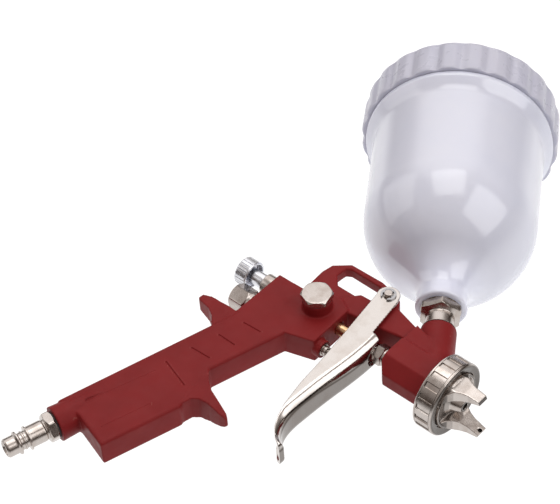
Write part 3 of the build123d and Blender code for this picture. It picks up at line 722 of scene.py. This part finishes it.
def cup():
    """The cup: neck, round bottom, straight wall, and a flange and a plain collar under the lid."""
    low, high, flange = reach("cup", cup_axis)
    centre, outer, neck, bore = 116.0, 46.6, 13.5, 7.9
    inner = outer - 2.0
    blend_radius, blend_low = 27.0, 59.5
    foot = math.degrees(math.asin(blend_radius / outer))
    inside_foot = math.degrees(math.asin((bore + 1.0) / inner))
    outline = [(low, bore), (low, neck - 0.1, 1.6), (low + 3.0, neck, 1.0)]
    outline += curve((blend_low, neck - 0.5), (blend_low + 8.5, neck - 0.7),
                     (centre - outer * math.cos(math.radians(foot)), blend_radius), 14)
    outline += arc(centre, outer, foot, 90, 40)[1:]
    outline += [(high - 24.5, outer + 0.9, 3.0), (high - 18.8, flange, 0.8), (high - 16.2, flange, 0.4)]
    outline += [(high - 16.1, flange - 3.6, 0.1), (high, flange - 3.6), (high, flange - 5.8)]
    outline += [(high - 19.0, inner + 1.4, 2.0)]
    outline += arc(centre, inner, 90, inside_foot, 40)
    outline += [(centre - math.sqrt(inner**2 - bore**2), bore, 1.0)]
    mesh = turned("cup_moulding", cup_axis, outline, 0.4, True, segments=192)
    return add_piece("cup_moulding", mesh, "cup", "cup")


LOBES = 24


def lid():
    """The screw lid: soft lobes round the skirt, a shallow dish and a vent on top."""
    low, high, outer = reach("cup_lid", cup_axis)
    outline = [
        (high - 1.2, 0), (high - 1.2, 2.2, 0.3), (high - 0.2, 2.8, 0.4), (high - 0.2, 4.4, 0.4),
        (high - 0.9, 5.4, 0.4), (high - 0.9, outer - 11.0, 2.0), (high, outer - 8.0, 2.0),
        (high, outer - 0.6, 2.6), (high - 4.0, outer, 1.0), (low + 1.5, outer, 1.0),
        (low, outer - 0.6, 0.8), (low, outer - 3.0, 0.5), (low + 0.6, outer - 5.0, 0.4),
        (high - 3.8, outer - 5.0), (high - 3.8, 0),
    ]

    def lobes(angle, station, radius):
        """Rounded lobes with narrower valleys that fade out at the skirt's two ends."""
        valley = ((1 + np.cos(angle * LOBES)) / 2) ** 2.2
        along = eased((station - low + 1.2) / 2.5) * eased((high + 0.6 - station) / 3.0)
        return radius - 1.5 * valley * along * (radius > outer - 2.9)

    mesh = turned("lobed_lid", cup_axis, outline, 0.4, False, lobes, 576, 1.0, 60)
    return add_piece("lobed_lid", mesh, "cup_lid", "cup_lid")


def coil(node):
    """A spring copied from its CAD node, shaded and carried on the gun."""
    mesh = frame["nodes"][node].data.copy()
    mesh.materials.clear()
    shade(mesh)
    piece = add_piece(node + "_coil", mesh, node, "gun")
    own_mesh(piece)


def springs():
    """The needle's spring and the air valve's, which the trigger compresses."""
    coil("needle_spring")
    coil("air_valve_spring")


for build_piece in (gun_body, trigger, air_cap, cap_ring, packing_nut, needle_sleeve, fluid_knob,
                    knob_guide, valve_cap, side_plug, inlet_nipple, cup_adapter, cup, lid, springs):
    build_piece()

for name, node in frame["nodes"].items():
    node.data.materials.clear()
    node.data.materials.append(materials[slots[name]])
    if not node.hide_render:
        shade(node.data)


# ---- floor and light -----------------------------------------------------------------------------
FLOOR_HALF = 1.2
FLOOR_GLOW, FLOOR_GLOW_FAR = 0.92, 0.32
GLOW_FADES_FROM, GLOW_FADES_TO = 0.32, 0.55


def floor():
    """A plain pale floor under the gun, brightest round the point that the camera looks at."""
    mesh = bpy.data.meshes.new("floor")
    corners = [(x * FLOOR_HALF, y * FLOOR_HALF, 0) for x, y in ((-1, -1), (1, -1), (1, 1), (-1, 1))]
    mesh.from_pydata(corners, [], [(0, 1, 2, 3)])
    g = Graph("floor", (0.2, 0.2, 0.2), 0.9, Emission_Color=(1, 1, 1, 1))
    away = g.nodes.new("ShaderNodeVectorMath")
    away.operation = "LENGTH"
    g.links.new(g.place, away.inputs[0])
    glow = g.spread(away.outputs["Value"], FLOOR_GLOW, FLOOR_GLOW_FAR, GLOW_FADES_FROM, GLOW_FADES_TO)
    g.drive("Emission Strength", glow)
    mesh.materials.append(g.material)
    piece = bpy.data.objects.new("floor", mesh)
    camera = bpy.context.scene.camera.matrix_world
    looking = camera.to_quaternion() @ Vector((0, 0, -1))
    to_floor = (low_corner.z - camera.translation.z) / looking.z
    piece.location = camera.translation + looking * to_floor
    bpy.context.scene.collection.objects.link(piece)


LIGHT_DISTANCE = 1.1


def soft_light(name, direction, size, radiance):
    """A square soft light that faces the middle of the gun from a direction."""
    data = bpy.data.lights.new(name, "AREA")
    data.size = size
    data.energy = radiance * math.pi * size**2
    light = bpy.data.objects.new(name, data)
    target = (low_corner + high_corner) / 2
    light.location = target + Vector(direction).normalized() * LIGHT_DISTANCE
    light.rotation_euler = Vector(direction).to_track_quat("Z", "Y").to_euler()
    bpy.context.scene.collection.objects.link(light)


def surroundings():
    """A warm room: dark at the horizon, paler overhead, palest where the back wall is lit."""
    world = bpy.data.worlds.new("room")
    world.use_nodes = True
    nodes, links = world.node_tree.nodes, world.node_tree.links
    place = nodes.new("ShaderNodeTexCoord").outputs["Generated"]

    def towards(direction, near, far):
        """0 to 1 as the look direction turns towards a given one."""
        facing = nodes.new("ShaderNodeVectorMath")
        facing.operation = "DOT_PRODUCT"
        facing.inputs[1].default_value = Vector(direction).normalized()
        links.new(place, facing.inputs[0])
        ease = nodes.new("ShaderNodeMapRange")
        ease.interpolation_type = "SMOOTHSTEP"
        ease.inputs["From Min"].default_value = near
        ease.inputs["From Max"].default_value = far
        links.new(facing.outputs["Value"], ease.inputs["Value"])
        return ease.outputs["Result"]

    climb = towards((0, 0, 1), 0.12, 0.75)
    rising = mixed(nodes, links, climb, (0.07, 0.05, 0.04), (0.50, 0.455, 0.43))
    patch = towards((-0.503, 0.501, 0.704), 0.78, 0.97)
    lit = mixed(nodes, links, patch, rising, (1.35, 1.31, 1.29))
    links.new(lit, nodes["Background"].inputs["Color"])
    bpy.context.scene.world = world
    bpy.context.scene.view_settings.view_transform = "Standard"


floor()
soft_light("overhead", (-0.12, 0.15, 0.98), 0.72, 1.7)
soft_light("window", (0.73, 0.25, 0.66), 0.95, 1.7)
soft_light("fill", (-0.85, -0.35, 0.40), 0.90, 0.8)
surroundings()
